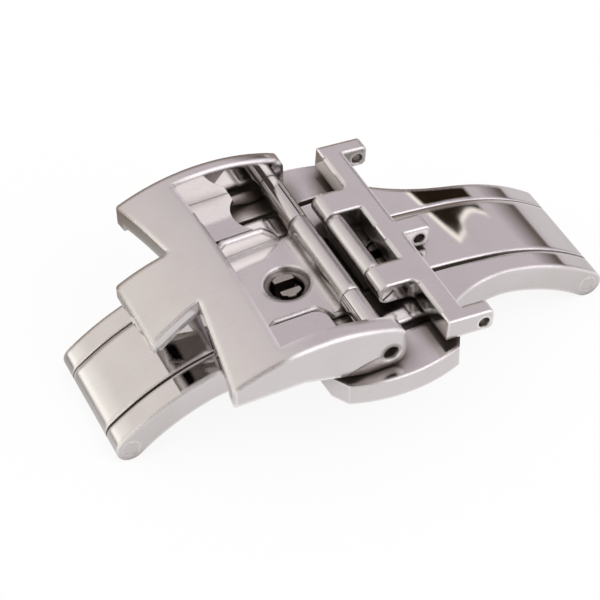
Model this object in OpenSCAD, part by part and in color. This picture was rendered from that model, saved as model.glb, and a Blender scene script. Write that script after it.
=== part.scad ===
// Push-button folding clasp for an 18 mm watch strap, folded shut.
// Two arched leaves fold into one arched base frame. The left leaf carries a notched cover, the right
// leaf a strap frame. Two side buttons draw a pair of catches inward to free the leaves.
// X runs along the clasp, Y across the strap, Z up. The base frame stands on its two ends at Z = 0.

/* [Node] */
// Piece to draw, or all of them

/* [Arch] */
// Distance between the two end pins
pin_span = 35.9; // [33:0.1:40]
// Radius of the rounded ends, half the rail thickness
end_r = 1.05; // [0.95:0.05:1.2]
// Radius of the long middle arc
mid_r = 64; // [55:1:80]
// Radius of the tighter end arcs
end_arc_r = 18; // [16.5:0.5:20]
// Distance from the middle to where the end arcs begin
shoulder_x = 10.5; // [9.5:0.1:11.5]

/* [Base frame] */
// Half width of the base frame at its ends
rail_half = 5.0; // [4.8:0.05:5.5]
// Half width of the hub in the middle
hub_half = 6.9; // [6.6:0.1:7.2]
// Radius of the hollow flare between rail and hub
flare_r = 11; // [9:0.5:13]
// Distance from the middle to where the flare begins
flare_x = 12; // [11.5:0.1:13]
// Side gap between a leaf and the rails
leaf_gap = 0.14; // [0.08:0.01:0.18]
// Radius of the end pins
end_pin_r = 0.55; // [0.45:0.05:0.6]
// Radial running clearance of every hinge
hinge_gap = 0.05; // [0.03:0.01:0.08]

/* [Leaves] */
// Half width of a leaf
leaf_half = 3.0; // [2.7:0.05:3.1]
// Thickness of a leaf between the rails
leaf_t = 1.1; // [0.9:0.05:1.3]
// Thickness of a leaf over the catches
head_t = 0.75; // [0.65:0.05:0.8]
// Half width of the left leaf's head over its side walls
head_half = 4.58; // [4.4:0.02:4.7]
// Thickness of the thin side walls of that head
wall_t = 0.33; // [0.25:0.01:0.45]
// Left end of the wide head
head_x = -7.8; // [-8.2:0.1:-7.4]
// Height of the side walls above the crest of the arch
wall_h = 1.4; // [1.1:0.05:1.5]
// Radius of the sunk rim of the catch hole
rim_r = 1.65; // [1.5:0.05:1.8]
// Radius of the catch hole
catch_hole_r = 1.25; // [1.15:0.05:1.35]
// Distance of the catch holes from the middle
catch_x = 3.75; // [3.6:0.05:3.9]

/* [Cover] */
// Height of the cover's highest point above the crest of the arch
cover_rise = 4.85; // [4.6:0.05:5.1]
// Place of the highest point along the clasp
cover_peak_x = -5.8; // [-6.2:0.1:-5.4]
// Radius of the cover's arch along the clasp
cover_r = 16.4; // [15.8:0.1:18]
// Radius of the cover's dome across the clasp
dome_r = 50; // [44:1:70]
// Half width of the cover and the strap frame
cover_half = 10.2; // [10:0.05:10.6]
// Clear width for the strap
strap_w = 18.1; // [17.6:0.1:18.4]
// Thickness of the cover plate
plate_t = 1.15; // [1:0.05:1.3]
// Left edge of the cover's window
window_x = -8.35; // [-8.8:0.05:-8]
// Left end of the centre tab
tab_end_x = -15.2; // [-15.5:0.1:-14]
// Half width of the centre tab at its end
tab_half = 3.15; // [2.8:0.05:3.4]
// Half width of the centre tab at its root
tab_root_half = 2.65; // [2.3:0.05:2.8]
// Left end of the two half arms, at the outer corners
tip_x = -12.3; // [-12.8:0.1:-12]
// Left edge of the half arms beside the tab
notch_x = -11.4; // [-11.8:0.1:-11]

/* [Cover hinge] */
// Place of the cover's hinge along the clasp
cover_pin_x = -0.82; // [-0.9:0.02:-0.7]
// Height of the cover's hinge above the crest of the arch
cover_pin_rise = 0.85; // [0.8:0.01:0.9]
// Outer radius of the hinge tube
tube_r = 0.83; // [0.75:0.01:0.85]
// Half length of the leaf's knuckle
knuckle_half = 4.2; // [4:0.05:4.4]
// Radius of the cover's hinge pin
cover_pin_r = 0.45; // [0.4:0.01:0.5]

/* [Strap frame] */
// Place of the strap frame's hinge along the clasp
frame_pin_x = 1.47; // [1.4:0.01:1.6]
// Height of the strap frame's hinge above the crest of the arch
frame_pin_rise = 1.0; // [0.95:0.01:1.1]
// Slope of the strap frame at rest, in degrees
frame_tilt = 5; // [3:0.5:5]
// Distance from the hinge to the near edge of the bar
bar_x = 1.95; // [1.9:0.05:2.1]
// Width of the bar
bar_w = 1.55; // [1.3:0.05:1.6]
// Thickness of the strap frame
frame_t = 1.56; // [1.4:0.02:1.6]
// Half width over the two hinge arms
arm_half = 5.3; // [5.1:0.05:5.5]
// Reach of the outer lugs from the hinge
lug_end = 5.5; // [5.4:0.05:5.6]
// Distance from the hinge to the strap pin holes
lug_hole_x = 4.8; // [4.7:0.05:4.85]
// Radius of the strap pin holes
lug_hole_r = 0.44; // [0.35:0.01:0.45]
// Half width of the middle lug
mid_lug_half = 0.75; // [0.6:0.05:0.9]

/* [Buttons] */
// Radius of the buttons' outer faces about the middle of the clasp
button_r = 11.4; // [11.1:0.1:11.7]
// Distance from the middle to the inner face of a button
button_y = 7.6; // [7.5:0.05:7.8]
// Half length of a button at its outer edge
button_half = 4.15; // [3.9:0.05:4.3]
// Thickness of a button
button_t = 1.75; // [1.7:0.05:1.9]
// Top of the buttons below the crest of the arch
button_drop = 0.4; // [0.35:0.05:0.5]
// Travel of a button
button_travel = 0.4; // [0.3:0.05:0.4]
// Thickness of the catch slides
slide_t = 0.8; // [0.7:0.05:0.85]
// Radius of the return springs
spring_r = 0.36; // [0.32:0.01:0.38]

/* [Hidden] */
$fn = 96;
arc_fn = 360;

// Arch
shoulder_a = asin(shoulder_x / mid_r);
pin_path_r = end_arc_r - end_r;
end_cx = shoulder_x - end_arc_r * sin(shoulder_a);
pin_x = pin_span / 2;
pin_a = asin((pin_x - end_cx) / pin_path_r);
crest_z = end_r + mid_r - (mid_r - end_arc_r) * cos(shoulder_a) - pin_path_r * cos(pin_a);
mid_cz = crest_z - mid_r;
end_cz = mid_cz + (mid_r - end_arc_r) * cos(shoulder_a);
rail_t = 2 * end_r;
pin_z = end_r;

// Length that a cut runs on past the face it opens
cut = end_r;
// Depth by which two joined solids run into each other
lap = 0.1;
// Gap between two faces that slide past each other
running_gap = 0.05;
// Gap between two faces that only stand next to each other
close_gap = 0.02;

// Base frame
channel_half = leaf_half + leaf_gap;
head_channel_half = head_half + leaf_gap;
hub_x = flare_x - sqrt(pow(flare_r, 2) - pow(flare_r - hub_half + rail_half, 2));
hub_len = 11.9;
hub_t = 2.39;
hub_top_drop = 0.19;
hub_core_drop = 0.8;
latch_cover_t = 0.45;
cross_drop = 1.14;
hub_base_z = crest_z - hub_t;
hub_top_z = crest_z - hub_top_drop;
hub_top_half = 2.5;
floor_z = hub_base_z + latch_cover_t;
bridge_x0 = -0.15;
bridge_x1 = 0.65;
cross_x0 = 5.1;
cross_x1 = 6.0;
cross_top_z = crest_z - cross_drop;

// Leaves
wing_x = 6.3;
head_end_x = 7.0;
wall_base_drop = 1.1;
wall_start_rise = 0.3;
wall_ramp = 1.1;
wall_crest_x = -3.6;
wall_fall_x = -2.7;
wall_fall_rise = 0.6;
wall_end_x = -2.2;
wall_end_drop = 0.1;
wall_root_drop = 0.6;
web_back = 0.6;
web_front = 0.7;
left_web_front = 0.55;
web_sink = 0.4;
head_fillet_r = 0.45;

// Catches
slide_play = 0.07;
yoke_inset = 0.35;
yoke_reach = 1.6;
post_drop = 0.24;
lip_drop = 0.41;
slide_z = floor_z + slide_play;
slide_gap = 0.06;
leg_x0 = 2.7;
leg_x1 = 4.3;
leg_inner_y = button_travel + running_gap;
ear_w = 0.2;
ear_y0 = 3.6;
ear_y1 = head_channel_half - slide_gap;
yoke_y0 = button_y + yoke_inset;
yoke_y1 = button_y + yoke_reach;
post_top_z = crest_z - post_drop;
post_r = 1.1;
post_half = 0.75;
lip_z = crest_z - lip_drop;
lip_r = catch_hole_r - running_gap;
lip_half = 0.3;
lip_shift = 0.1;
rim_drop = 0.45;

// Latch cover and its screws
latch_cover_x = 5.85;
latch_cover_y = 6.15;
latch_cover_gap = running_gap;
screw_x = 1.5;
screw_y = 5.3;
screw_r = 0.35;
screw_head_r = 0.62;
screw_head_t = 0.3;
screw_len = 1.4;
slot_w = 0.16;
slot_t = 0.12;
slot_turn = 40;

// Cover
cover_pin_z = crest_z + cover_pin_rise;
cover_cz = crest_z + cover_rise - cover_r;
bay_half = strap_w / 2;
side_base_rise = 0.95;
side_base_z = crest_z + side_base_rise;
arm_end_r = 1.1;
arm_base_z = cover_pin_z - arm_end_r;
arm_end_x = cover_pin_x + arm_end_r;
arm_top_r = 0.5;
arm_top_rise = 2.2;
arm_top_z = crest_z + arm_top_rise;
arm_slope_x0 = -7.2;
arm_slope_x1 = -2.6;
tab_corner_r = 0.2;
tip_corner_r = 0.15;
pin_mouth_r = 0.56;
pin_mouth_t = 0.75;
pin_fit = 0.01;
cover_pin_half = cover_half - pin_mouth_t - close_gap;
plate_x0 = -9.9;
plate_x1 = -3.2;
plate_slot_x = -8.7;
plate_z = side_base_z;
strap_plate_t = 0.4;
plate_corner_r = 1.0;
far_leg_x = -4.1;
far_bite_x = -2.5;
far_bite_y = 8.2;
far_bite_r = 2.4;
far_leg_cut = 3.0;

// Strap frame
frame_pin_z = crest_z + frame_pin_rise;
frame_drop = 0.63;
nose_r = frame_t / 2;
nose_z = nose_r - frame_drop;
frame_pin_r = 0.4;
frame_head_r = 0.52;
frame_head_t = 0.5;
mid_lug_end = 5.6;
lug_round_r = 0.45;
frame_edge = 0.2;
frame_fillet = 0.4;

// Buttons
button_top_z = crest_z - button_drop;
button_base_z = button_top_z - button_t;
button_root_half = 4.9;
button_root_y = 9.35;
button_root_taper = 0.05;
button_tip_inset = 0.75;
button_tip_draw = 0.4;
rivet_x = 3.5;
rivet_inset = 1.0;
rivet_y = button_y + rivet_inset;
rivet_r = 0.35;
rivet_len = 1.45;
spring_z = slide_z + slide_t / 2;
spring_mouth_y = 6.1;
spring_bore_r = 0.45;
spring_seat_y = 4.9;
spring_end_y = yoke_y0;
spring_wire_r = 0.07;
spring_curls = 4;
curl_rings = 8;
wire_sides = 6;

// Shared shapes
module side(w) {
    rotate([90, 0, 0])
        linear_extrude(height = w, center = true)
            children();
}

module rod(x, z, r, w) {
    translate([x, 0, z])
        rotate([90, 0, 0])
            cylinder(r = r, h = w, center = true);
}

module block(x0, x1, half_y, z0, z1) {
    translate([x0, -half_y, z0])
        cube([x1 - x0, 2 * half_y, z1 - z0]);
}

// One arc of the arch, from angle a0 to a1 off the vertical, t thick, w wide
module arc_band(cx, cz, r, t, a0, a1, w) {
    far = 1.3 * r;
    translate([cx, 0, cz])
        intersection() {
            difference() {
                rotate([90, 0, 0])
                    cylinder(r = r, h = w, center = true, $fn = arc_fn);
                rotate([90, 0, 0])
                    cylinder(r = r - t, h = w + 2 * cut, center = true, $fn = arc_fn);
            }
            side(w + cut)
                polygon([[0, 0], [far * sin(a0), far * cos(a0)], [far * sin(a1), far * cos(a1)]]);
        }
}

// Middle arc with an inner core that runs on into the two end arcs
module mid_band(t, w) {
    skin = 0.3;
    skin_turn = 1;
    arc_band(0, mid_cz, mid_r, t, -shoulder_a, shoulder_a, w);
    core_a = shoulder_a + skin_turn;
    arc_band(0, mid_cz, mid_r - skin, t - 2 * skin, -core_a, core_a, w - 2 * skin);
}

// End arc and rounded end on one side, s = -1 left or 1 right
module end_band(s, t, w) {
    arc_band(s * end_cx, end_cz, end_arc_r, t, s * shoulder_a, s * pin_a, w);
    rod(s * pin_x, pin_z, end_r, w);
}

// Plan of the base frame, drawn tall
module base_plan() {
    tall = crest_z + 4 * cut;
    block(-pin_x - 2 * cut, pin_x + 2 * cut, rail_half, -cut, tall);
    block(-hub_x, hub_x, hub_half, -cut, tall);
    for (s = [-1, 1])
        difference() {
            block(min(s * hub_x, s * flare_x), max(s * hub_x, s * flare_x), hub_half, -cut, tall);
            for (t = [-1, 1])
                translate([s * flare_x, t * (rail_half + flare_r), -2 * cut])
                    cylinder(r = flare_r, h = tall + 3 * cut, $fn = arc_fn);
        }
}

module base_frame() {
    color("Silver")
        difference() {
            intersection() {
                union() {
                    mid_band(rail_t, 2 * (hub_half + cut));
                    for (s = [-1, 1])
                        end_band(s, rail_t, 2 * (hub_half + cut));
                    block(-hub_len / 2, hub_len / 2, hub_half + cut, hub_base_z, crest_z - hub_core_drop);
                }
                base_plan();
            }
            // Channels for the two leaves
            block(-pin_x - 2 * cut, -cross_x1, channel_half, -cut, crest_z + cut);
            block(cross_x1, pin_x + 2 * cut, channel_half, -cut, crest_z + cut);
            block(head_x - leaf_gap, bridge_x0, head_channel_half, cross_top_z, crest_z + cut);
            block(head_x - leaf_gap, -cross_x1, head_channel_half, -cut, crest_z + cut);
            block(bridge_x1, cross_x1 + cut, channel_half, cross_top_z, crest_z + cut);
            block(-hub_top_half, hub_top_half, hub_half + cut, hub_top_z, crest_z + cut);
            // Room for the catch slides on each side of the bridge
            block(-cross_x0, bridge_x0, head_channel_half, floor_z - lap, cross_top_z + lap);
            block(bridge_x1, cross_x0, head_channel_half, floor_z - lap, slide_z + slide_t + slide_gap);
            for (s = [-1, 1])
                block(
                    min(s * (leg_x0 - slide_gap), s * (leg_x1 + slide_gap)),
                    max(s * (leg_x0 - slide_gap), s * (leg_x1 + slide_gap)),
                    hub_half + cut, floor_z - lap, slide_z + slide_t + slide_gap
                );
            // Recess and screw holes of the latch cover
            block(
                -latch_cover_x - latch_cover_gap, latch_cover_x + latch_cover_gap,
                latch_cover_y + latch_cover_gap, hub_base_z - cut, floor_z
            );
            for (s = [-1, 1], t = [-1, 1])
                translate([s * screw_x, t * screw_y, hub_base_z])
                    cylinder(r = screw_r + pin_fit, h = screw_len + lap);
            // Spring bores, open below where the latch cover closes them
            for (t = [-1, 1]) {
                translate([0, t * (spring_seat_y + button_y) / 2, spring_z])
                    rotate([90, 0, 0])
                        cylinder(r = spring_bore_r, h = button_y - spring_seat_y, center = true);
                translate([0, t * (spring_seat_y + spring_mouth_y) / 2, (floor_z + spring_z) / 2 - lap])
                    cube([
                        2 * spring_bore_r, spring_mouth_y - spring_seat_y, spring_z - floor_z + 2 * lap
                    ], center = true);
            }
            // End pin holes
            for (s = [-1, 1])
                rod(s * pin_x, pin_z, end_pin_r + pin_fit, 2 * (rail_half + cut));
        }
}

module latch_cover() {
    color("Silver")
        difference() {
            block(-latch_cover_x, latch_cover_x, latch_cover_y, hub_base_z, floor_z);
            for (s = [-1, 1], t = [-1, 1])
                translate([s * screw_x, t * screw_y, hub_base_z - cut]) {
                    cylinder(r = screw_r + hinge_gap, h = 2 * cut);
                    cylinder(r = screw_head_r + hinge_gap, h = cut + screw_head_t);
                }
        }
}

module latch_cover_screws() {
    color("Gray")
        for (s = [-1, 1], t = [-1, 1])
            translate([s * screw_x, t * screw_y, hub_base_z])
                difference() {
                    union() {
                        cylinder(r = screw_head_r, h = screw_head_t);
                        cylinder(r = screw_r, h = screw_len);
                    }
                    translate([-screw_head_r - cut, -slot_w / 2, -cut])
                        cube([2 * (screw_head_r + cut), slot_w, cut + slot_t]);
                }
}

module end_pin(s) {
    color("Gray")
        rod(s * pin_x, pin_z, end_pin_r, 2 * rail_half);
}

// Leaf between the rails, from the end pin to the cross wall
module leaf_wing(s) {
    intersection() {
        union() {
            mid_band(leaf_t, 2 * leaf_half);
            end_band(s, leaf_t, 2 * leaf_half);
        }
        block(
            min(s * wing_x, s * (pin_x + 2 * cut)), max(s * wing_x, s * (pin_x + 2 * cut)),
            leaf_half + cut, -cut, crest_z + cut
        );
    }
}

// Hole for the catch posts
module catch_hole(x, rim) {
    translate([x, 0, crest_z - 2 * cut])
        cylinder(r = catch_hole_r, h = 3 * cut);
    if (rim)
        translate([x, 0, crest_z - rim_drop])
            cylinder(r = rim_r, h = 3 * cut);
}

// Hinge tube of a leaf with the web that joins it to the leaf below
module knuckle(x, z, r, half, web_x0, web_x1) {
    rod(x, z, r, 2 * half);
    block(web_x0, web_x1, half, crest_z - head_t + lap, z);
}

module left_leaf() {
    web_x0 = cover_pin_x - tube_r;
    color("LightGray")
        difference() {
            union() {
                leaf_wing(-1);
                intersection() {
                    mid_band(head_t, 2 * head_half);
                    block(head_x, bridge_x0 - leaf_gap, head_half, 0, crest_z + cut);
                }
                // Thin side walls of the head
                for (t = [-1, 1])
                    translate([0, t * (head_half - wall_t / 2), 0])
                        side(wall_t)
                            polygon([
                                [head_x, crest_z - wall_base_drop], [head_x, crest_z + wall_start_rise],
                                [head_x + wall_ramp, crest_z + wall_h], [wall_crest_x, crest_z + wall_h],
                                [wall_fall_x, crest_z + wall_fall_rise],
                                [wall_end_x, crest_z - wall_end_drop],
                                [wall_end_x, crest_z - wall_root_drop]
                            ]);
                knuckle(cover_pin_x, cover_pin_z, tube_r, knuckle_half, web_x0, cover_pin_x + left_web_front);
                // Hollow curve where the head rises to the tube
                difference() {
                    block(
                        web_x0 - head_fillet_r, web_x0 + lap, knuckle_half,
                        crest_z - web_sink, crest_z + head_fillet_r
                    );
                    rod(
                        web_x0 - head_fillet_r, crest_z + head_fillet_r, head_fillet_r,
                        2 * knuckle_half + cut
                    );
                }
            }
            rod(-pin_x, pin_z, end_pin_r + hinge_gap, 2 * (leaf_half + cut));
            rod(cover_pin_x, cover_pin_z, cover_pin_r + hinge_gap, 2 * (knuckle_half + cut));
            catch_hole(-catch_x, true);
        }
}

module right_leaf() {
    color("LightGray")
        difference() {
            union() {
                leaf_wing(1);
                intersection() {
                    mid_band(head_t, 2 * leaf_half);
                    block(bridge_x1 + leaf_gap, head_end_x, leaf_half, 0, crest_z + cut);
                }
                knuckle(
                    frame_pin_x, frame_pin_z, nose_r, leaf_half,
                    frame_pin_x - web_back, frame_pin_x + web_front
                );
            }
            rod(pin_x, pin_z, end_pin_r + hinge_gap, 2 * (leaf_half + cut));
            rod(frame_pin_x, frame_pin_z, frame_pin_r + hinge_gap, 2 * (leaf_half + cut));
            catch_hole(catch_x, false);
        }
}

// Barrel about the cover's arch centre, drop below the outer face
module dome(drop) {
    translate([cover_peak_x, 0, cover_cz])
        rotate([90, 0, 0])
            rotate_extrude($fn = arc_fn)
                intersection() {
                    translate([cover_r - dome_r, 0])
                        circle(r = dome_r - drop, $fn = arc_fn);
                    translate([0, -cover_half - cut])
                        square([cover_r + cut, 2 * (cover_half + cut)]);
                }
}

// Plan of the cover: centre tab between two half arms
module cover_plan() {
    linear_extrude(height = 2 * crest_z) {
        translate([tab_end_x + tab_corner_r, 0])
            for (t = [-1, 1])
                translate([0, t * (tab_half - tab_corner_r)])
                    circle(r = tab_corner_r);
        translate([tab_end_x, -tab_half + tab_corner_r])
            square([2 * tab_corner_r, 2 * (tab_half - tab_corner_r)]);
        polygon([
            [tab_end_x + tab_corner_r, -tab_half], [notch_x, -tab_root_half], [arm_end_x, -tab_root_half],
            [arm_end_x, tab_root_half], [notch_x, tab_root_half], [tab_end_x + tab_corner_r, tab_half]
        ]);
        polygon([
            [notch_x, -tab_root_half], [tip_x, -cover_half + tip_corner_r],
            [tip_x + tip_corner_r, -cover_half], [arm_end_x + cut, -cover_half],
            [arm_end_x + cut, cover_half], [tip_x + tip_corner_r, cover_half],
            [tip_x, cover_half - tip_corner_r], [notch_x, tab_root_half]
        ]);
    }
}

// Side view of the cover's arms, ending round the hinge
module arm_profile(w) {
    side(w)
        polygon([
            [tip_x - 4 * cut, side_base_z], [arm_slope_x0, side_base_z],
            [arm_slope_x1, arm_base_z], [arm_end_x - arm_end_r, arm_base_z],
            [arm_end_x, arm_base_z + arm_end_r], [arm_end_x, arm_top_z],
            [arm_end_x - arm_top_r, arm_top_z + arm_top_r], [arm_end_x - arm_top_r, 2 * crest_z],
            [tip_x - 4 * cut, 2 * crest_z]
        ]);
    rod(arm_end_x - arm_end_r, arm_base_z + arm_end_r, arm_end_r, w);
    rod(arm_end_x - arm_top_r, arm_top_z, arm_top_r, w);
}

module notched_cover() {
    inner_x1 = arm_end_x + 2 * cut;
    color("Silver")
        difference() {
            intersection() {
                dome(0);
                cover_plan();
                arm_profile(2 * cover_half + cut);
            }
            intersection() {
                dome(plate_t);
                block(tab_end_x - cut, inner_x1, bay_half, 0, 2 * crest_z);
            }
            block(window_x, inner_x1, bay_half, 0, 2 * crest_z);
            rod(cover_pin_x, cover_pin_z, cover_pin_r + pin_fit, 2 * (cover_half + cut));
            for (t = [-1, 1])
                translate([0, t * (cover_half - (pin_mouth_t - cut) / 2), 0])
                    rod(cover_pin_x, cover_pin_z, pin_mouth_r, pin_mouth_t + cut);
        }
}

// Plate under the window that the strap end lies on, its near leg longer than the far one
module strap_plate() {
    half = bay_half - pin_fit;
    corner_y = head_channel_half + plate_corner_r;
    color("LightGray")
        difference() {
            block(plate_x0, plate_x1, half, plate_z, plate_z + strap_plate_t);
            block(plate_slot_x, plate_x1 + cut, head_channel_half, 0, 2 * crest_z);
            // Rounded inner corner of the near leg
            difference() {
                translate([plate_x1 - plate_corner_r, -corner_y, 0])
                    cube([plate_corner_r + cut, plate_corner_r + cut, 2 * crest_z]);
                translate([plate_x1 - plate_corner_r, -corner_y, -cut])
                    cylinder(r = plate_corner_r, h = 3 * crest_z);
            }
            // Hollow end of the far leg
            translate([far_leg_x, 0, 0])
                cube([far_leg_cut, half + cut, 2 * crest_z]);
            translate([far_bite_x, (head_channel_half + far_bite_y) / 2, 0])
                cylinder(r = far_bite_r, h = 2 * crest_z);
        }
}

module cover_pin() {
    color("Gray")
        rod(cover_pin_x, cover_pin_z, cover_pin_r, 2 * cover_pin_half);
}

// Spacer tube between the leaf's knuckle and one arm, t = -1 near or 1 far
module cover_sleeve(t) {
    y0 = knuckle_half + running_gap;
    y1 = bay_half - pin_fit - close_gap;
    color("LightGray")
        translate([0, t * (y0 + y1) / 2, 0])
            difference() {
                rod(cover_pin_x, cover_pin_z, tube_r, y1 - y0);
                rod(cover_pin_x, cover_pin_z, cover_pin_r + pin_fit, y1 - y0 + cut);
            }
}

// Places the strap frame's own axes, hinge at the origin, into the clasp
module frame_place() {
    translate([frame_pin_x, 0, frame_pin_z])
        rotate([0, frame_tilt, 0])
            children();
}

// Side view of one lug with its free end rounded below
module lug_side(end, w) {
    top = frame_t - frame_drop;
    side(w)
        polygon([
            [bar_x, -frame_drop], [end - lug_round_r / 2, -frame_drop], [end, -frame_drop + lug_round_r / 2],
            [end, top - frame_edge], [end - frame_edge, top], [bar_x, top]
        ]);
}

module strap_frame() {
    top = frame_t - frame_drop;
    arm_inner = leaf_half + running_gap;
    color("Silver")
        frame_place()
            difference() {
                union() {
                    // Bar with a bevel along its upper left edge
                    side(2 * cover_half)
                        polygon([
                            [bar_x, -frame_drop], [bar_x + bar_w, -frame_drop], [bar_x + bar_w, top],
                            [bar_x + frame_edge, top], [bar_x, top - frame_edge]
                        ]);
                    // Two hinge arms
                    for (t = [-1, 1])
                        translate([0, t * (arm_inner + arm_half) / 2, 0]) {
                            rod(0, nose_z, nose_r, arm_half - arm_inner);
                            side(arm_half - arm_inner)
                                polygon([
                                    [0, -frame_drop], [bar_x + frame_edge + lap, -frame_drop],
                                    [bar_x + frame_edge + lap, top], [0, top]
                                ]);
                        }
                    // Hollow corners between the bar and the arms
                    for (t = [-1, 1])
                        difference() {
                            translate([bar_x - frame_fillet, t * (arm_half + frame_fillet / 2), 0])
                                block(0, frame_fillet + frame_edge, frame_fillet / 2, -frame_drop, top);
                            translate([
                                bar_x - frame_fillet, t * (arm_half + frame_fillet), -frame_drop - cut
                            ])
                                cylinder(r = frame_fillet, h = frame_t + 2 * cut);
                        }
                    // Two outer lugs and the middle lug
                    for (t = [-1, 1])
                        translate([0, t * (bay_half + cover_half) / 2, 0])
                            lug_side(lug_end, cover_half - bay_half);
                    lug_side(mid_lug_end, 2 * mid_lug_half);
                }
                rod(0, 0, frame_pin_r + pin_fit, 2 * arm_half + cut);
                translate([0, -arm_half, 0])
                    rod(0, 0, frame_head_r + pin_fit, 2 * frame_head_t);
                rod(lug_hole_x, 0, lug_hole_r, 2 * cover_half + cut);
            }
}

module strap_frame_pin() {
    color("Gray")
        frame_place()
            difference() {
                union() {
                    rod(0, 0, frame_pin_r, 2 * arm_half - close_gap);
                    translate([0, -arm_half + frame_head_t / 2, 0])
                        rod(0, 0, frame_head_r, frame_head_t);
                }
                translate([0, -arm_half, 0])
                    rotate([0, -slot_turn, 0])
                        cube([2 * cut, 2 * slot_t, slot_w], center = true);
            }
}

// One button with the pieces that move with it, t = -1 near or 1 far
module button(t) {
    color("Silver")
        difference() {
            intersection() {
                translate([0, 0, button_base_z])
                    cylinder(r = button_r, h = button_t, $fn = arc_fn);
                translate([0, 0, button_base_z])
                    linear_extrude(height = button_t)
                        polygon([
                            [-button_root_half - button_root_taper, t * button_y],
                            [button_root_half + button_root_taper, t * button_y],
                            [button_root_half, t * button_root_y],
                            [button_half, t * (button_r - button_tip_inset)],
                            [button_half - button_tip_draw, t * (button_r + cut)],
                            [-button_half + button_tip_draw, t * (button_r + cut)],
                            [-button_half, t * (button_r - button_tip_inset)],
                            [-button_root_half, t * button_root_y]
                        ]);
            }
            // Slot for the yoke
            translate([0, t * (yoke_y1 / 2), 0])
                block(
                    -leg_x1 - slide_gap, leg_x1 + slide_gap,
                    yoke_y1 / 2 + pin_fit, slide_z - pin_fit, slide_z + slide_t + pin_fit
                );
            for (s = [-1, 1])
                translate([s * rivet_x, t * rivet_y, button_base_z - cut])
                    cylinder(r = rivet_r + pin_fit, h = rivet_len + cut);
            translate([0, t * (button_y + spring_end_y - cut) / 2, spring_z])
                rotate([90, 0, 0])
                    cylinder(r = spring_bore_r, h = spring_end_y - button_y + cut, center = true);
        }
}

module catch_slide(t) {
    leg_mid = (leg_x0 + leg_x1) / 2;
    leg_w = leg_x1 - leg_x0;
    color("DimGray")
        difference() {
            union() {
                for (s = [-1, 1]) {
                    // Leg, its stop ears and its catch post
                    translate([s * leg_mid, t * (leg_inner_y + yoke_y1) / 2, slide_z + slide_t / 2])
                        cube([leg_w, yoke_y1 - leg_inner_y, slide_t], center = true);
                    translate([s * leg_mid, t * (ear_y0 + ear_y1) / 2, slide_z + slide_t / 2])
                        cube([leg_w + 2 * ear_w, ear_y1 - ear_y0, slide_t], center = true);
                    intersection() {
                        translate([s * catch_x, 0, slide_z])
                            cylinder(r = post_r, h = post_top_z - slide_z);
                        translate([s * catch_x, t * (leg_inner_y + post_r), post_top_z])
                            cube([2 * post_half, 2 * post_r, 2 * crest_z], center = true);
                        block(s * leg_mid - leg_w, s * leg_mid + leg_w, 2 * post_r, spring_z, crest_z);
                    }
                    intersection() {
                        translate([s * catch_x, 0, lip_z])
                            cylinder(r = lip_r, h = post_top_z - lip_z);
                        translate([s * (catch_x + lip_shift), t * (leg_inner_y + lip_r), lip_z])
                            cube([2 * lip_half, 2 * lip_r, 2 * crest_z], center = true);
                    }
                }
                translate([0, t * (yoke_y0 + yoke_y1) / 2, slide_z + slide_t / 2])
                    cube([2 * leg_x1, yoke_y1 - yoke_y0, slide_t], center = true);
            }
            for (s = [-1, 1])
                translate([s * rivet_x, t * rivet_y, slide_z - cut])
                    cylinder(r = rivet_r + pin_fit, h = slide_t + 2 * cut);
        }
}

module button_rivets(t) {
    color("Gray")
        for (s = [-1, 1])
            translate([s * rivet_x, t * rivet_y, button_base_z])
                cylinder(r = rivet_r, h = rivet_len);
}

// Return spring from the hub to the button, one unbroken wire
function spring_point(i, seat, pitch) =
    let(a = 360 * i / curl_rings)
    [spring_r * cos(a), seat + pitch * i / curl_rings, spring_r * sin(a)];

module button_spring(t) {
    seat = spring_seat_y + spring_wire_r + close_gap;
    last = spring_end_y - spring_wire_r - close_gap;
    pitch = (last - seat) / spring_curls;
    rings = spring_curls * curl_rings;
    slope = atan2(pitch, 360 * PI / 180 * spring_r);
    points = [
        for (i = [0:rings], k = [0:wire_sides - 1])
            let(
                c = spring_point(i, seat, pitch),
                a = 360 * i / curl_rings,
                b = 360 * k / wire_sides,
                u = spring_wire_r * cos(b),
                v = spring_wire_r * sin(b)
            )
            [
                c[0] + u * cos(a) + v * sin(slope) * sin(a),
                c[1] + v * cos(slope),
                c[2] + u * sin(a) - v * sin(slope) * cos(a)
            ]
    ];
    walls = [
        for (i = [0:rings - 1], k = [0:wire_sides - 1], h = [0:1])
            let(
                a = i * wire_sides + k,
                b = i * wire_sides + (k + 1) % wire_sides
            )
            h == 0 ? [a, b, a + wire_sides] : [b, b + wire_sides, a + wire_sides]
    ];
    start_cap = [for (k = [1:wire_sides - 2]) [0, k + 1, k]];
    end_cap = [for (k = [1:wire_sides - 2]) [for (j = [0, k, k + 1]) rings * wire_sides + j]];
    echo(spring_self_gap = pitch * cos(slope) - 2 * spring_wire_r);
    color("DarkGray")
        translate([0, 0, spring_z])
            mirror([0, t < 0 ? 1 : 0, 0])
                polyhedron(points = points, faces = concat(start_cap, walls, end_cap), convexity = 10);
}

base_frame();
latch_cover();
latch_cover_screws();
end_pin(-1);  // left_end_pin
end_pin(1);  // right_end_pin
left_leaf();
right_leaf();
notched_cover();
strap_plate();
cover_pin();
cover_sleeve(-1);  // cover_sleeve_near
cover_sleeve(1);  // cover_sleeve_far
strap_frame();
strap_frame_pin();
button(-1);  // near_button
catch_slide(-1);  // near_catch_slide
button_rivets(-1);  // near_button_rivets
button_spring(-1);  // near_button_spring
button(1);  // far_button
catch_slide(1);  // far_catch_slide
button_rivets(1);  // far_button_rivets
button_spring(1);  // far_button_spring
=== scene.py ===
"""Folding clasp for a watch strap: polished steel finishes, eased edges, studio and camera."""

from math import cos, radians, sin

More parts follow.
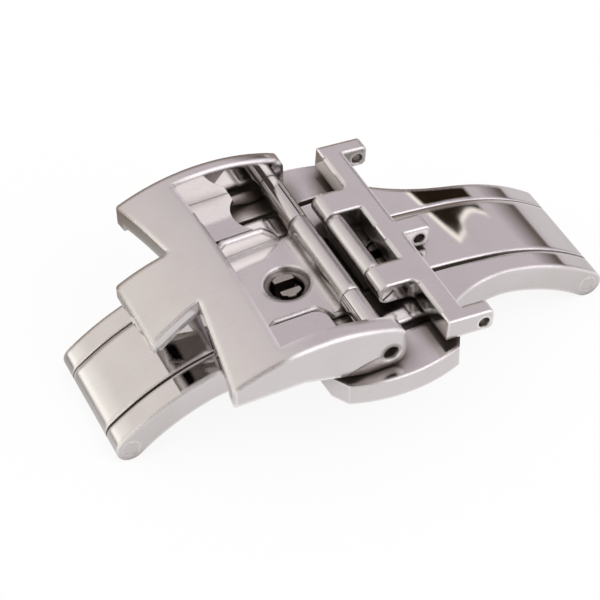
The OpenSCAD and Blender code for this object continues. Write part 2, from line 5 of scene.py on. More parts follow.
import bpy
from bpy.props import FloatProperty, FloatVectorProperty, PointerProperty
from bpy.types import Operator, Panel, PropertyGroup
from mathutils import Matrix, Vector


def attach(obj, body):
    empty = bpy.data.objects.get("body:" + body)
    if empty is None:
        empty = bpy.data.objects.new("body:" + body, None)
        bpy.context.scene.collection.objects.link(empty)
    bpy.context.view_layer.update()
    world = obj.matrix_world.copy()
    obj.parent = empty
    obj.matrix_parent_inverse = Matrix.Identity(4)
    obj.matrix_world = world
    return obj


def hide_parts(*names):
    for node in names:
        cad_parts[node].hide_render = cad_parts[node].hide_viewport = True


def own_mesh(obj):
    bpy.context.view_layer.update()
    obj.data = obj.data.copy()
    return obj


bl_info = {
    "name": "Folding Clasp Finish",
    "version": (1, 0, 0),
    "blender": (4, 5, 0),
    "location": "View3D > Sidebar > Clasp",
    "description": "Finishes the packed clasp in polished and brushed steel and sets up its studio",
    "category": "Object",
}

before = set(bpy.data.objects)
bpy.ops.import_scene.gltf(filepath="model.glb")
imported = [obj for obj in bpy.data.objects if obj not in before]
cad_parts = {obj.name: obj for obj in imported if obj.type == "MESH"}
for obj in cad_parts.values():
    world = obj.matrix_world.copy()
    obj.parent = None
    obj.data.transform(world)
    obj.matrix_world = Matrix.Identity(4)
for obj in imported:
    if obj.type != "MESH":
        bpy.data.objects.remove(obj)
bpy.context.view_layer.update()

MM = 0.001

# Nodes that share a finish
BUTTONS = ("near_button", "far_button")
LEAVES = {"left_leaf": "Polished Left Leaf", "right_leaf": "Polished Right Leaf"}
TUBES = ("cover_sleeve_near", "cover_sleeve_far")
END_PINS = ("left_end_pin", "right_end_pin")
PINS = ("cover_pin", "near_button_rivets", "far_button_rivets")
SCREWS = ("latch_cover_screws", "strap_frame_pin")
SLIDES = ("near_catch_slide", "far_catch_slide")

# Each spring's visible coil, the joint that shortens it and its side of the middle line
SPRINGS = {
    "near_button_spring": ("near_return_coil", "near_button_push", -1),
    "far_button_spring": ("far_return_coil", "far_button_push", 1),
}

# Eased edges, as shares of the panel's edge radius
FRAME_EDGE = 1.3
PLATE_EDGE = 1.6
FINE_EDGE = 0.15
EDGE_RAYS = 6

# Recesses: the shares of open sky between which the steel turns from polished to painted shade with a
# rougher finish
DEEP_RECESS = (0.45, 0.15)
NARROW_RECESS = (0.6, 0.25)
WIDE_RECESS = (0.93, 0.66)
INNER_ROUGHNESS = 0.5
RECESS_RAYS = 6

# The painted highlight on outer edges comes in between these turns of the eased normal, as cosines, and
# these shares of sky
EDGE_TURN = (0.95, 0.83)
EDGE_SKY = (0.70, 0.88)

# Marks in the mirror polish: waves per metre, and the noise values between which each mark comes in
HAZE_WAVES = 260.0
LEAF_HAZE_WAVES = 320.0
HAZE_RANGE = (0.42, 0.72)
HAZE_SHARE = 0.6
HAZE_ROUGHNESS = 0.02
WIPE_WAVES = (900.0, 5200.0, 2600.0)
WIPE_RANGE = (0.56, 0.80)
WIPE_SHARE = 0.4
SCRATCH_WAVES = (15000.0, 700.0, 4000.0)
SCRATCH_RANGE = (0.70, 0.78)
SCRATCH_DEPTH = 0.15
RIPPLE_WAVES = 1400.0
POLISH_BUMP = 0.02
POLISH_RELIEF = 0.002 * MM

# Brushed grain: waves per metre along x, y and z for each finish, and how the grain darkens the steel
# and changes its roughness
PLATE_GRAIN = (1800.0, 14000.0, 14000.0)
SLIDE_GRAIN = (9000.0, 2200.0, 9000.0)
TUBE_GRAIN = (12000.0, 900.0, 12000.0)
PIN_GRAIN = (16000.0, 1600.0, 16000.0)
SCREW_GRAIN = (9000.0, 9000.0, 9000.0)
UNDERSIDE_GRAIN = (900.0, 16000.0, 16000.0)
WIRE_GRAIN = (7000.0, 7000.0, 7000.0)
DARK_RANGE = (0.38, 0.68)
DARK_SHARE = 0.75
PATCH_WAVES = 350.0
PATCH_RANGE = (0.2, 0.8)
PATCH_STRENGTH = (0.5, 1.0)
GRAIN_RANGE = (0.3, 0.7)
ROUGHNESS_SPREAD = (-0.08, 0.08)
GRAIN_RELIEF = 0.004 * MM
GRAIN_ANISOTROPY = 0.35

# Painted shade round the left leaf's catch hole, for the darker look of its recessed step
CATCH_HOLE = (-3.75 * MM, 0.0, 0.0)
RING_RADIUS = 1.66 * MM
RING_FADE = 0.03 * MM
RING_SHADE = 0.7

# A painted shadow along the near rails' inner edges, standing in for the gap beside the leaves; it widens on
# the right towards the hub
SEAM_INNER = 2.0 * MM
SEAM_OUTER = 3.23 * MM
SEAM_FADE = 0.03 * MM
SEAM_START_X = 6.0 * MM
SEAM_END_X = 15.0 * MM
SEAM_WIDENING = 0.20 * MM
SEAM_SHADOW_COLOUR = (0.035, 0.028, 0.024, 1.0)

# The camera's aim point, in metres, from the photograph's fitted view
CAMERA_AIM = (-3.101 * MM, -0.703 * MM, 4.897 * MM)
CAMERA_CLIP = (0.01, 10.0)
SENSOR_WIDTH = 36.0

# Lamps, in metres
KEY_PLACE = (0.177, -0.284, 0.302)
KEY_SIZE = (0.33, 0.36)
SIDE_PLACE = (0.40, -0.20, 0.20)
SIDE_SIZE = (0.14, 0.14)

# The floor, and the places between which each of its zones comes in
WHITE = (1.0, 1.0, 1.0, 1.0)
FLOOR_DROP = 0.02 * MM
FLOOR_ROUGHNESS = 0.7
FLOOR_SHEEN = 0.1
FLOOR_GLOW = 0.85
FLOOR_LIGHT = 1.05
BESIDE_Y = (-10 * MM, 9 * MM)
WELL_BEHIND_Y = (10 * MM, 22 * MM)
FAR_RIGHT_X = (9 * MM, 20 * MM)
FAR_RIGHT_SLANT = 0.6

# The room by direction, and the values between which each of its parts comes in
WALLS_X = (-0.45, 0.25)
FAR_SIDE_Y = (0.0, 0.3)
SKIRTING_FOOT_Z = (0.03, 0.05)
SKIRTING_TOP_Z = (0.26, 0.08)
GLARE_X = (-0.54, -0.65)
GLARE_Z = (0.49, 0.37)
DIM_SIDE_Y = (-0.30, -0.40)
DIM_SIDE_Z = (0.14, 0.22)
DIM_SIDE_SHIFT = 0.26
DIM_SIDE_HALF = (0.34, 0.31)

# The doorway is a wedge between two planes, cut off low and near, with a light rim along the planes
DOORWAY_PLANES = ((0.219, 0.503, -0.836), (-0.534, 0.762, -0.367))
DOORWAY_EDGES = ((-0.006, -0.003), (-0.001, 0.0))
RIM_EDGES = ((-0.0110, -0.0095), (-0.0036, -0.0028))
DOORWAY_FOOT_Z = (0.31, 0.34)
DOORWAY_NEAR_X = (0.47, 0.52)


def swatch(name, description, red, green, blue, most=1.0):
    """A colour in the panel."""
    return FloatVectorProperty(
        name=name, description=description, subtype="COLOR", size=4, min=0.0, max=most,
        default=(red, green, blue, 1.0),
    )


class ClaspFinish(PropertyGroup):
    """Colours and finish of the steel"""

    steel: swatch("Steel", "Colour of the polished steel", 0.65, 0.63, 0.625)
    steel_worn: swatch(
        "Handled Steel", "Colour where the polish is hazed by handling", 0.60, 0.575, 0.565,
    )
    slide_steel: swatch(
        "Slide Steel", "Colour of the hidden stamped slides and springs", 0.42, 0.39, 0.35,
    )
    # Painted highlight: this colour is laid over the outer edges to brighten them
    edge_highlight_colour: swatch("Edge Highlight", "Colour of the burnished outer edges", 0.96, 0.94, 0.94)
    # Painted shade: this colour darkens slots, holes and pockets where little sky reaches, and the disc
    # round the catch hole
    recess_shade_colour: swatch(
        "Recess Shade", "Colour of the unpolished steel in slots, holes and pockets", 0.16, 0.135, 0.115,
    )
    polish: FloatProperty(
        name="Polish Roughness", description="Roughness of the mirror polish",
        min=0.0, max=1.0, default=0.02, subtype="FACTOR",
    )
    recess: FloatProperty(
        name="Recess Width", description="Slots and holes narrower than this are left unpolished",
        min=0.0001, max=0.01, default=0.002, precision=5, unit="LENGTH",
    )
    edge: FloatProperty(
        name="Edge Radius", description="Radius of the eased edges of the polished pieces",
        min=0.00001, max=0.001, default=0.0004, precision=5, unit="LENGTH",
    )


class ClaspStudio(PropertyGroup):
    """Camera, floor, room and lamps. The metal shows the room and the floor in these colours"""

    lens: FloatProperty(
        name="Lens", description="Focal length", min=20.0, max=300.0, default=131.126,
        unit="CAMERA",
    )
    distance: FloatProperty(
        name="Camera Distance", description="From the aim point to the camera",
        min=0.05, max=1.0, default=0.152864, unit="LENGTH",
    )
    azimuth: FloatProperty(
        name="Azimuth", description="Camera's turn about the vertical",
        default=radians(-24.3237), subtype="ANGLE",
    )
    elevation: FloatProperty(
        name="Elevation", description="Camera's height angle",
        default=radians(43.8872), subtype="ANGLE",
    )
    roll: FloatProperty(
        name="Roll", description="Camera's turn about its own line of sight",
        default=radians(-1.7483), subtype="ANGLE",
    )
    floor_size: FloatProperty(
        name="Floor Size", description="Side of the square floor",
        min=0.1, max=4.0, default=1.6, unit="LENGTH",
    )
    key_power: FloatProperty(
        name="Key Power", description="Power of the large lamp beside the camera",
        min=0.0, max=20.0, default=0.42, unit="POWER",
    )
    side_power: FloatProperty(
        name="Side Power", description="Power of the small lamp on the right",
        min=0.0, max=20.0, default=0.075, unit="POWER",
    )
    floor_colour: swatch("Floor", "Colour of the floor", 0.86, 0.86, 0.86)
    near_floor: swatch("Near Floor", "Mirrored colour of the floor before the clasp", 0.93, 0.905, 0.91)
    far_floor: swatch("Far Floor", "Mirrored colour of the floor beside the clasp", 0.44, 0.42, 0.40)
    dark_floor: swatch("Dark Floor", "Mirrored colour of the floor well behind the clasp", 0.13, 0.08, 0.034)
    right_floor: swatch("Right Floor", "Mirrored colour of the floor far to the right", 0.76, 0.72, 0.73)
    room_left: swatch("Room Left", "Mirrored colour of the room on the left", 1.0, 0.94, 0.90)
    room_right: swatch("Room Right", "Mirrored colour of the room on the right", 0.745, 0.68, 0.72)
    dim_side: swatch("Dim Side", "Mirrored colour of the dark room behind the camera", 0.12, 0.10, 0.09)
    skirting: swatch(
        "Skirting", "Mirrored colour of the dark band low on the room's far side", 0.17, 0.14, 0.125,
    )
    doorway: swatch(
        "Doorway", "Mirrored colour of the dark opening on the far right", 0.022, 0.014, 0.008,
    )
    door_frame: swatch(
        "Door Frame", "Mirrored colour of the light rim of that opening", 1.45, 1.38, 1.26, most=4.0,
    )
    glare: swatch(
        "Glare", "Mirrored colour of the bright opening low on the far left", 1.50, 1.48, 1.39, most=4.0,
    )


def settings(context):
    return context.scene.clasp_finish, context.scene.clasp_studio


# Shader nodes
def feed(tree, socket, value):
    """Links a value into a socket, or writes a plain number or colour there."""
    if isinstance(value, bpy.types.NodeSocket):
        tree.links.new(value, socket)
    else:
        socket.default_value = value


def maths(tree, operation, a, b=None, clamp=False):
    node = tree.nodes.new("ShaderNodeMath")
    node.operation = operation
    node.use_clamp = clamp
    for i, value in enumerate((a, b)):
        if value is not None:
            feed(tree, node.inputs[i], value)
    return node.outputs[0]


def overlap(tree, *masks):
    """1 where every mask is 1."""
    both = masks[0]
    for mask in masks[1:]:
        both = maths(tree, "MULTIPLY", both, mask)
    return both


def vector_maths(tree, operation, a, b, output="Vector"):
    node = tree.nodes.new("ShaderNodeVectorMath")
    node.operation = operation
    feed(tree, node.inputs[0], a)
    feed(tree, node.inputs[1], b)
    return node.outputs[output]


def facing(tree, direction, axis):
    """How far a direction leans to an axis: below 0 when it leans away."""
    return vector_maths(tree, "DOT_PRODUCT", direction, axis, "Value")


def split(tree, vector):
    """The x, y and z of a vector."""
    node = tree.nodes.new("ShaderNodeSeparateXYZ")
    feed(tree, node.inputs[0], vector)
    return tuple(node.outputs)


def own_place(tree):
    """The place on the piece in its own axes, in metres."""
    return tree.nodes.new("ShaderNodeTexCoord").outputs["Object"]


def noise(tree, vector, waves, detail, rough=0.5):
    node = tree.nodes.new("ShaderNodeTexNoise")
    for label, value in (
        ("Vector", vector), ("Scale", waves), ("Detail", detail), ("Roughness", rough),
    ):
        feed(tree, node.inputs[label], value)
    return node.outputs["Fac"]


def drawn_noise(tree, vector, waves, detail, rough=0.5):
    """Noise with its own waves per metre along each axis, which draws it out into lines."""
    return noise(tree, vector_maths(tree, "MULTIPLY", vector, waves), 1.0, detail, rough)


def map_range(tree, value, low, high, to_low=0.0, to_high=1.0):
    """Turns a value that runs from low to high into one that runs from to_low to to_high."""
    node = tree.nodes.new("ShaderNodeMapRange")
    for label, number in (
        ("Value", value), ("From Min", low), ("From Max", high), ("To Min", to_low), ("To Max", to_high),
    ):
        feed(tree, node.inputs[label], number)
    return node.outputs["Result"]


def mixed(tree, factor, a, b):
    """Colour a where the factor is 0 and colour b where it is 1."""
    node = tree.nodes.new("ShaderNodeMix")
    node.data_type = "RGBA"
    feed(tree, node.inputs[0], factor)
    feed(tree, node.inputs[6], a)
    feed(tree, node.inputs[7], b)
    return node.outputs[2]


# Shader node groups
FLOAT, COLOUR, VECTOR = "NodeSocketFloat", "NodeSocketColor", "NodeSocketVector"
SURFACE = (("Colour", COLOUR), ("Roughness", FLOAT), ("Height", FLOAT))


def new_group(name, inputs, outputs):
    """A shader node group, with the sockets that it is given and those that it puts out."""
    tree = bpy.data.node_groups.new(name, "ShaderNodeTree")
    for label, kind in inputs:
        tree.interface.new_socket(name=label, in_out="INPUT", socket_type=kind)
    for label, kind in outputs:
        tree.interface.new_socket(name=label, in_out="OUTPUT", socket_type=kind)
    return tree, tree.nodes.new("NodeGroupInput").outputs, tree.nodes.new("NodeGroupOutput").inputs


def polish_group(name):
    """Mirror polish: soft haze from handling, faint wipe marks and a few fine scratches."""
    inputs = (
        ("Clean Colour", COLOUR), ("Handled Colour", COLOUR), ("Roughness", FLOAT), ("Haze Waves", FLOAT),
    )
    tree, given, put = new_group(name, inputs, SURFACE)
    place = own_place(tree)
    haze = map_range(tree, noise(tree, place, given["Haze Waves"], detail=3.0), *HAZE_RANGE)
    wipes = map_range(tree, drawn_noise(tree, place, WIPE_WAVES, detail=2.0), *WIPE_RANGE)
    scratches = drawn_noise(tree, place, SCRATCH_WAVES, detail=1.0)
    scratches = map_range(tree, scratches, *SCRATCH_RANGE)
    handled = maths(tree, "MULTIPLY", haze, HAZE_SHARE)
    handled = maths(tree, "ADD", handled, maths(tree, "MULTIPLY", wipes, WIPE_SHARE), clamp=True)
    feed(tree, put["Colour"], mixed(tree, handled, given["Clean Colour"], given["Handled Colour"]))
    spread = maths(tree, "MULTIPLY", handled, HAZE_ROUGHNESS)
    feed(tree, put["Roughness"], maths(tree, "ADD", given["Roughness"], spread, clamp=True))
    lines = maths(tree, "MULTIPLY", scratches, SCRATCH_DEPTH)
    ripple = noise(tree, place, RIPPLE_WAVES, detail=1.0)
    feed(tree, put["Height"], maths(tree, "SUBTRACT", ripple, lines))
    return tree


def brushed_group(name):
    """Brushed or ground steel: long fine grain in patches of uneven strength."""
    inputs = (
        ("Clean Colour", COLOUR), ("Dark Colour", COLOUR), ("Roughness", FLOAT), ("Grain", FLOAT),
        ("Waves", VECTOR),
    )
    tree, given, put = new_group(name, inputs, SURFACE)
    place = own_place(tree)
    grain = drawn_noise(tree, place, given["Waves"], detail=4.0, rough=0.65)
    patches = noise(tree, place, PATCH_WAVES, detail=2.0)
    patches = map_range(tree, patches, *PATCH_RANGE, *PATCH_STRENGTH)
    dark = overlap(tree, map_range(tree, grain, *DARK_RANGE), patches, given["Grain"])
    feed(tree, put["Colour"], mixed(tree, dark, given["Clean Colour"], given["Dark Colour"]))
    spread = map_range(tree, grain, *GRAIN_RANGE, *ROUGHNESS_SPREAD)
    spread = maths(tree, "MULTIPLY", spread, given["Grain"])
    feed(tree, put["Roughness"], maths(tree, "ADD", given["Roughness"], spread, clamp=True))
    feed(tree, put["Height"], grain)
    return tree


def edges_group(name):
    """Eased edges, with a mask for the painted highlight on outer edges and one for the painted shade in
    slots, holes and pockets.
    """
    inputs = (
        ("Radius", FLOAT), ("Recess Width", FLOAT), ("Open Above", FLOAT), ("Closed Below", FLOAT),
    )
    outputs = (("Normal", VECTOR), ("Outer Edge Highlight", FLOAT), ("Recess", FLOAT))
    tree, given, put = new_group(name, inputs, outputs)
    bevel = tree.nodes.new("ShaderNodeBevel")
    bevel.samples = EDGE_RAYS
    feed(tree, bevel.inputs["Radius"], given["Radius"])
    eased = bevel.outputs["Normal"]
    feed(tree, put["Normal"], eased)
    open_sky = tree.nodes.new("ShaderNodeAmbientOcclusion")
    open_sky.samples = RECESS_RAYS
    feed(tree, open_sky.inputs["Distance"], given["Recess Width"])
    openness = open_sky.outputs["AO"]
    feed(tree, put["Recess"], map_range(tree, openness, given["Open Above"], given["Closed Below"]))
    flat = tree.nodes.new("ShaderNodeNewGeometry").outputs["Normal"]
    turned = map_range(tree, facing(tree, eased, flat), *EDGE_TURN)
    feed(tree, put["Outer Edge Highlight"], overlap(tree, turned, map_range(tree, openness, *EDGE_SKY)))
    return tree


GROUPS = {"Mirror Polish": polish_group, "Brushed Grain": brushed_group, "Eased Edges": edges_group}


def placed(tree, name, values):
    """Places a shader node group, which is built once, with a material's own values."""
    node = tree.nodes.new("ShaderNodeGroup")
    node.node_tree = bpy.data.node_groups.get(name) or GROUPS[name](name)
    for label, value in values.items():
        node.inputs[label].default_value = value
    return node.outputs


# Materials
def shader_of(material):
    return material.node_tree.nodes["Principled BSDF"]


def paint_shade_or_highlight(material, mask, colour):
    """Lays a colour over the steel where the mask is 1: here painted highlights, painted shade and painted
    shadow.
    """
    base = shader_of(material).inputs["Base Color"]
    feed(material.node_tree, base, mixed(material.node_tree, mask, base.links[0].from_socket, colour))


def steel_material(name, finish, group, values, edge, sky, bump, relief, rim=None):
    """Steel with a group's surface, eased edges, painted shade and more roughness in recesses and, if asked,
    a painted highlight on outer edges.
    """
    material = bpy.data.materials.new(name)
    material.use_nodes = True
    tree = material.node_tree
    shader = shader_of(material)
    shader.inputs["Metallic"].default_value = 1.0
    surface = placed(tree, group, values)
    open_above, closed_below = sky
    edges = placed(tree, "Eased Edges", {
        "Radius": finish.edge * edge, "Recess Width": finish.recess,
        "Open Above": open_above, "Closed Below": closed_below,
    })
    feed(tree, shader.inputs["Base Color"], surface["Colour"])
    # Painted highlight along the outer edges
    if rim is not None:
        paint_shade_or_highlight(material, edges["Outer Edge Highlight"], rim)
    # Painted shade in slots, holes and pockets, where little sky reaches
    paint_shade_or_highlight(material, edges["Recess"], finish.recess_shade_colour)
    inside = maths(tree, "MULTIPLY", edges["Recess"], INNER_ROUGHNESS)
    feed(tree, shader.inputs["Roughness"], maths(tree, "MAXIMUM", surface["Roughness"], inside))
    bumps = tree.nodes.new("ShaderNodeBump")
    bumps.inputs["Strength"].default_value = bump
    bumps.inputs["Distance"].default_value = relief
    feed(tree, bumps.inputs["Height"], surface["Height"])
    feed(tree, bumps.inputs["Normal"], edges["Normal"])
    feed(tree, shader.inputs["Normal"], bumps.outputs["Normal"])
    return material


def polished(name, finish, edge=1.0, sky=NARROW_RECESS, haze_waves=HAZE_WAVES):
    """Mirror-polished steel with a painted highlight along its outer edges."""
    values = {
        "Clean Colour": finish.steel, "Handled Colour": finish.steel_worn,
        "Roughness": finish.polish, "Haze Waves": haze_waves,
    }
    return steel_material(
        name, finish, "Mirror Polish", values, edge, sky, POLISH_BUMP, POLISH_RELIEF, finish.edge_highlight_colour,
    )


def brushed(name, finish, waves, roughness, colour=None, grain=1.0, bump=0.25, sky=NARROW_RECESS):
    """Brushed, turned or ground steel."""
    clean = finish.steel if colour is None else colour
    values = {
        "Clean Colour": clean, "Dark Colour": [c * DARK_SHARE for c in clean[:3]] + [1.0],
        "Roughness": roughness, "Grain": grain, "Waves": waves,
    }
    material = steel_material(
        name, finish, "Brushed Grain", values, FINE_EDGE, sky, bump, GRAIN_RELIEF,
    )
    shader_of(material).inputs["Anisotropic"].default_value = GRAIN_ANISOTROPY
    return material


def painted_seam_shadow(material):
    """Paints a shadow along the near rails' inner edges beside the leaves, as the gap there would cast."""
    tree = material.node_tree
    x, y, _ = split(tree, own_place(tree))
    near = maths(tree, "MULTIPLY", y, -1.0)
    along = maths(tree, "ABSOLUTE", x)
    right = map_range(tree, x, 0.0, SEAM_START_X)
    wider = map_range(tree, x, SEAM_START_X, SEAM_END_X, SEAM_WIDENING, 0.0)
    across = maths(tree, "SUBTRACT", near, maths(tree, "MULTIPLY", wider, right))
    strip = overlap(
        tree,
        map_range(tree, across, SEAM_OUTER + SEAM_FADE, SEAM_OUTER),
        map_range(tree, near, SEAM_INNER, SEAM_INNER + SEAM_FADE),
        map_range(tree, along, SEAM_START_X, SEAM_START_X + SEAM_FADE),
    )
    paint_shade_or_highlight(material, strip, SEAM_SHADOW_COLOUR)


def painted_ring_shade(material, centre, colour):
    """Paints shade within a circle about an upright axis."""
    tree = material.node_tree
    flat = vector_maths(tree, "MULTIPLY", own_place(tree), (1.0, 1.0, 0.0))
    away = vector_maths(tree, "DISTANCE", flat, centre, "Value")
    ring = map_range(tree, away, RING_RADIUS, RING_RADIUS - RING_FADE, 0.0, RING_SHADE)
    paint_shade_or_highlight(material, ring, colour)


def dress(nodes, material):
    """Puts one finish on several CAD nodes."""
    for name in nodes:
        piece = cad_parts.get(name)
        if piece is None:
            raise RuntimeError("the frame has no node " + name)
        piece.data.materials.clear()
        piece.data.materials.append(material)


class CLASP_OT_frame(Operator):
    """Finish the base frame and the strap frame"""

    bl_idname = "clasp.frame"
    bl_label = "Frames"

    def execute(self, context):
        finish, _ = settings(context)
        rails = polished("Polished Frame", finish, FRAME_EDGE)
        # Painted shadow along the near rails' inner edges
        painted_seam_shadow(rails)
        dress(("base_frame",), rails)
        dress(("strap_frame",), polished("Polished Strap Frame", finish))
        return {"FINISHED"}


class CLASP_OT_cover(Operator):
    """Finish the notched cover and its strap plate"""

    bl_idname = "clasp.cover"
    bl_label = "Cover"

    def execute(self, context):
        finish, _ = settings(context)
        dress(("notched_cover",), polished("Polished Cover", finish, PLATE_EDGE))
        plate = brushed(
            "Satin Plate", finish, PLATE_GRAIN, roughness=0.12, grain=0.4, bump=0.04, sky=DEEP_RECESS,
        )
        dress(("strap_plate",), plate)
        return {"FINISHED"}


class CLASP_OT_leaves(Operator):
    """Finish the two leaves"""

    bl_idname = "clasp.leaves"
    bl_label = "Leaves"

    def execute(self, context):
        finish, _ = settings(context)
        for name, label in LEAVES.items():
            leaf = polished(label, finish, PLATE_EDGE, haze_waves=LEAF_HAZE_WAVES)
            if name == "left_leaf":
                # Painted shade round the left leaf's catch hole
                painted_ring_shade(leaf, CATCH_HOLE, finish.recess_shade_colour)
            dress((name,), leaf)
        return {"FINISHED"}


class CLASP_OT_buttons(Operator):
    """Finish the two push buttons and their catch slides"""

    bl_idname = "clasp.buttons"
    bl_label = "Buttons"

    def execute(self, context):
        finish, _ = settings(context)
        # On the buttons the recess mask paints shade across their tops beside the cover's arms
        dress(BUTTONS, polished("Polished Button", finish, sky=WIDE_RECESS))
        slide = brushed("Slide Steel", finish, SLIDE_GRAIN, roughness=0.32, colour=finish.slide_steel)
        dress(SLIDES, slide)
        return {"FINISHED"}


class CLASP_OT_pins(Operator):
    """Finish the pins, tubes, screws and the hub's underside cover"""

    bl_idname = "clasp.pins"
    bl_label = "Pins and Screws"

    def execute(self, context):
        finish, _ = settings(context)
        tube = brushed("Turned Tube", finish, TUBE_GRAIN, roughness=0.10, grain=0.5, bump=0.03)
        dress(TUBES, tube)
        dress(PINS, brushed("Ground Pin", finish, PIN_GRAIN, roughness=0.22))
        dress(END_PINS, polished("Polished Pin End", finish, FINE_EDGE))
        dress(SCREWS, brushed("Turned Screw", finish, SCREW_GRAIN, roughness=0.25))
        under = brushed("Brushed Underside", finish, UNDERSIDE_GRAIN, roughness=0.28)
        dress(("latch_cover",), under)
        return {"FINISHED"}


def return_coil(node, name, material):
    """A copy of a spring's wire, in its own material, that takes the CAD node's place on the frame."""
    coil = bpy.data.objects.new(name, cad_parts[node].data.copy())
    bpy.context.scene.collection.objects.link(coil)
    coil.data.materials.clear()
    coil.data.materials.append(material)
    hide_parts(node)
    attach(coil, "frame")
    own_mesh(coil)


class CLASP_OT_springs(Operator):
    """Make the two return springs as copies of their CAD nodes"""

    bl_idname = "clasp.springs"
    bl_label = "Springs"

    def execute(self, context):
        finish, _ = settings(context)
        wire = brushed("Drawn Wire", finish, WIRE_GRAIN, roughness=0.3, colour=finish.slide_steel)
        for node, (name, joint, side) in SPRINGS.items():
            return_coil(node, name, wire)
        return {"FINISHED"}


# Studio
def camera_axes(azimuth, elevation, roll):
    """The camera's right, up and back directions."""
    right = Vector((cos(azimuth), sin(azimuth), 0))
    up = Vector((-sin(azimuth) * sin(elevation), cos(azimuth) * sin(elevation), cos(elevation)))
    back = Vector((sin(azimuth) * cos(elevation), -cos(azimuth) * cos(elevation), sin(elevation)))
    return cos(roll) * right + sin(roll) * up, cos(roll) * up - sin(roll) * right, back


def make_camera(studio):
    """A camera that looks at the aim point."""
    right, up, back = camera_axes(studio.azimuth, studio.elevation, studio.roll)
    data = bpy.data.cameras.new("Camera")
    data.sensor_width = SENSOR_WIDTH
    data.lens = studio.lens
    data.clip_start, data.clip_end = CAMERA_CLIP
    camera = bpy.data.objects.new("Camera", data)
    bpy.context.scene.collection.objects.link(camera)
    turn = Matrix((right, up, back)).transposed().to_4x4()
    camera.matrix_world = Matrix.Translation(Vector(CAMERA_AIM) + studio.distance * back) @ turn
    bpy.context.scene.camera = camera


def make_lamp(name, place, size, power):
    """A lamp that faces the camera's aim point."""
    data = bpy.data.lights.new(name, "AREA")
    data.shape = "RECTANGLE"
    data.size, data.size_y = size
    data.energy = power
    lamp = bpy.data.objects.new(name, data)
    bpy.context.scene.collection.objects.link(lamp)
    back = (Vector(place) - Vector(CAMERA_AIM)).normalized()
    lamp.location = place
    lamp.rotation_euler = back.to_track_quat("Z", "Y").to_euler()


def floor_zones(tree, studio):
    """The floor's colours as the metal shows them."""
    x, y, _ = split(tree, own_place(tree))
    beside = map_range(tree, y, *BESIDE_Y)
    slant = maths(tree, "MULTIPLY", y, FAR_RIGHT_SLANT)
    far_right = map_range(tree, maths(tree, "SUBTRACT", x, slant), *FAR_RIGHT_X)
    zones = mixed(tree, beside, studio.near_floor, studio.far_floor)
    zones = mixed(tree, map_range(tree, y, *WELL_BEHIND_Y), zones, studio.dark_floor)
    return mixed(tree, overlap(tree, far_right, beside), zones, studio.right_floor)


def make_floor(studio):
    """A floor that keeps the clasp's shadow, white to the camera and in zones to the metal."""
    half = studio.floor_size / 2
    mesh = bpy.data.meshes.new("Floor")
    corners = [(-half, -half, 0), (half, -half, 0), (half, half, 0), (-half, half, 0)]
    mesh.from_pydata(corners, [], [(0, 1, 2, 3)])
    floor = bpy.data.objects.new("Floor", mesh)
    bpy.context.scene.collection.objects.link(floor)
    floor.location.z = -FLOOR_DROP
    material = bpy.data.materials.new("Floor")
    material.use_nodes = True
    tree = material.node_tree
    shader = shader_of(material)
    shader.inputs["Base Color"].default_value = studio.floor_colour
    shader.inputs["Roughness"].default_value = FLOOR_ROUGHNESS
    shader.inputs["Specular IOR Level"].default_value = FLOOR_SHEEN
    ray = tree.nodes.new("ShaderNodeLightPath").outputs
    shown = maths(tree, "MAXIMUM", ray["Is Camera Ray"], ray["Is Glossy Ray"])
    shown = maths(tree, "MAXIMUM", shown, ray["Is Transmission Ray"])
    glow = tree.nodes.new("ShaderNodeEmission")
    glow.inputs["Strength"].default_value = FLOOR_LIGHT
    feed(tree, glow.inputs["Color"], mixed(tree, ray["Is Camera Ray"], floor_zones(tree, studio), WHITE))
    mix = tree.nodes.new("ShaderNodeMixShader")
    feed(tree, mix.inputs[0], maths(tree, "MULTIPLY", shown, FLOOR_GLOW))
    feed(tree, mix.inputs[1], shader.outputs[0])
    feed(tree, mix.inputs[2], glow.outputs[0])
    feed(tree, tree.nodes["Material Output"].inputs["Surface"], mix.outputs[0])
    mesh.materials.append(material)


def room_colours(tree, studio):
    """The room by direction: a warm left and a mauve right, with a dark skirting, a glare and a
    rimmed doorway on its far side, and a dim side behind the camera."""
    direction = tree.nodes.new("ShaderNodeTexCoord").outputs["Generated"]
    x, y, z = split(tree, direction)
    far_side = map_range(tree, y, *FAR_SIDE_Y)
    above_floor = map_range(tree, z, *SKIRTING_FOOT_Z)
    room = mixed(tree, map_range(tree, x, *WALLS_X), studio.room_left, studio.room_right)
    skirting = overlap(tree, above_floor, map_range(tree, z, *SKIRTING_TOP_Z), far_side)
    room = mixed(tree, skirting, room, studio.skirting)
    left, low = map_range(tree, x, *GLARE_X), map_range(tree, z, *GLARE_Z)
    room = mixed(tree, overlap(tree, left, low, far_side, above_floor), room, studio.glare)
    leans = [facing(tree, direction, plane) for plane in DOORWAY_PLANES]
    reach = (map_range(tree, z, *DOORWAY_FOOT_Z), map_range(tree, x, *DOORWAY_NEAR_X))
    for edges, shade in ((RIM_EDGES, studio.door_frame), (DOORWAY_EDGES, studio.doorway)):
        sides = [map_range(tree, lean, *edge) for lean, edge in zip(leans, edges)]
        room = mixed(tree, overlap(tree, *sides, *reach), room, shade)
    before, high = map_range(tree, y, *DIM_SIDE_Y), map_range(tree, z, *DIM_SIDE_Z)
    across = maths(tree, "ABSOLUTE", maths(tree, "ADD", x, DIM_SIDE_SHIFT))
    dim_side = overlap(tree, before, high, map_range(tree, across, *DIM_SIDE_HALF))
    return mixed(tree, dim_side, room, studio.dim_side)


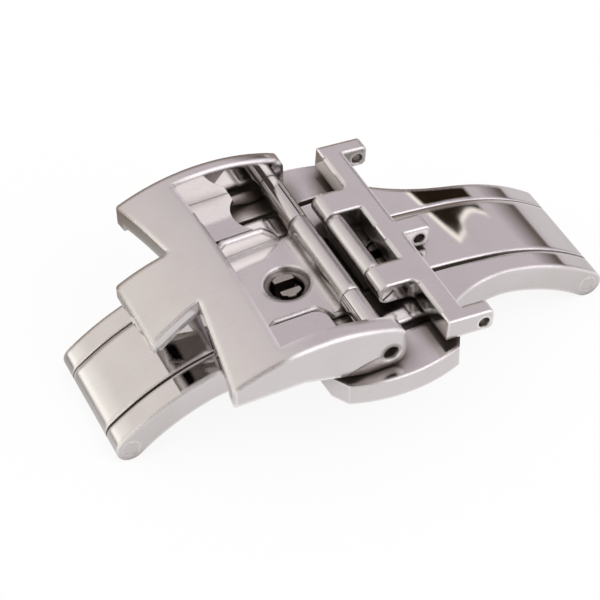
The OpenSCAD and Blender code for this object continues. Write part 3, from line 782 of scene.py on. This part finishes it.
def make_world(studio):
    """A world that is white to the camera and a coloured room to the metal."""
    world = bpy.data.worlds.new("Studio")
    bpy.context.scene.world = world
    world.use_nodes = True
    tree = world.node_tree
    background = tree.nodes["Background"]
    background.inputs["Strength"].default_value = 1.0
    camera_ray = tree.nodes.new("ShaderNodeLightPath").outputs["Is Camera Ray"]
    feed(tree, background.inputs["Color"], mixed(tree, camera_ray, room_colours(tree, studio), WHITE))


class CLASP_OT_stage(Operator):
    """Set up the camera, floor, world and lamps"""

    bl_idname = "clasp.stage"
    bl_label = "Stage"

    def execute(self, context):
        _, studio = settings(context)
        make_camera(studio)
        make_floor(studio)
        make_world(studio)
        make_lamp("Key", KEY_PLACE, KEY_SIZE, studio.key_power)
        make_lamp("Side", SIDE_PLACE, SIDE_SIZE, studio.side_power)
        context.scene.view_settings.view_transform = "Standard"
        return {"FINISHED"}


class CLASP_PT_panel(Panel):
    """Clasp tools in the sidebar"""

    bl_label = "Clasp"
    bl_idname = "CLASP_PT_panel"
    bl_space_type = "VIEW_3D"
    bl_region_type = "UI"
    bl_category = "Clasp"

    def draw(self, context):
        layout = self.layout
        for group in settings(context):
            box = layout.box()
            for name in group.__annotations__:
                box.prop(group, name)
        for step in STEPS:
            layout.operator(step.bl_idname)


STEPS = (
    CLASP_OT_frame, CLASP_OT_cover, CLASP_OT_leaves, CLASP_OT_buttons, CLASP_OT_pins,
    CLASP_OT_springs, CLASP_OT_stage,
)
CLASSES = (ClaspFinish, ClaspStudio) + STEPS + (CLASP_PT_panel,)


def register():
    for cls in CLASSES:
        bpy.utils.register_class(cls)
    bpy.types.Scene.clasp_finish = PointerProperty(type=ClaspFinish)
    bpy.types.Scene.clasp_studio = PointerProperty(type=ClaspStudio)


def unregister():
    del bpy.types.Scene.clasp_studio
    del bpy.types.Scene.clasp_finish
    for cls in reversed(CLASSES):
        bpy.utils.unregister_class(cls)


def main():
    register()
    for step in STEPS:
        group, name = step.bl_idname.split(".")
        getattr(getattr(bpy.ops, group), name)()


if __name__ == "__main__":
    main()
